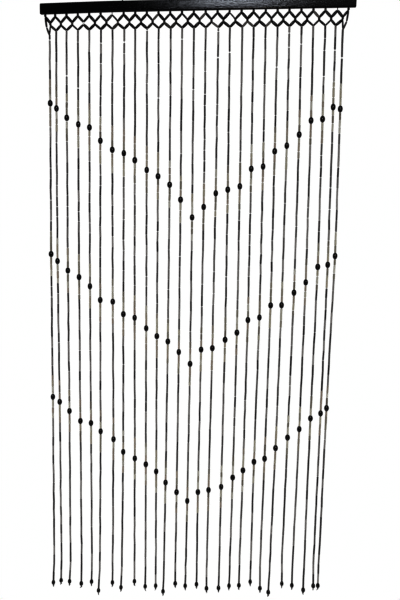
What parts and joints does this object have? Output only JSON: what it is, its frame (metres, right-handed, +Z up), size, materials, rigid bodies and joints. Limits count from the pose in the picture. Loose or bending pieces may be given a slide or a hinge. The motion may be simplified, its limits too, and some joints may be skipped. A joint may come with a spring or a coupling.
{
  "type": "bead curtain with hanging rail",
  "caption": "Hanging bead curtain: black tube strings with oval balls set in chevrons, below a beaded net heading and a lacquered wooden rail with screw eyes.",
  "frame": {"origin": "midway between the two screw eyes, at the height where a hook bears on their rings", "axes": "+Z up, +X along the rail to the right as seen from the front, front towards -Y"},
  "size_m": [0.895, 0.0134, 1.8259],
  "materials": {
    "rail_lacquer": "gloss lacquer",
    "steel_wire": "drawn wire",
    "black_beads": "gloss lacquer",
    "brown_beads": "gloss varnish",
    "cord": "twisted thread"
  },
  "bodies": {
    "root": {"rail": "rail_lacquer", "screw_eye_left": "steel_wire", "screw_eye_right": "steel_wire", "bead_strings": "black_beads"}
  },
  "joints": []
}
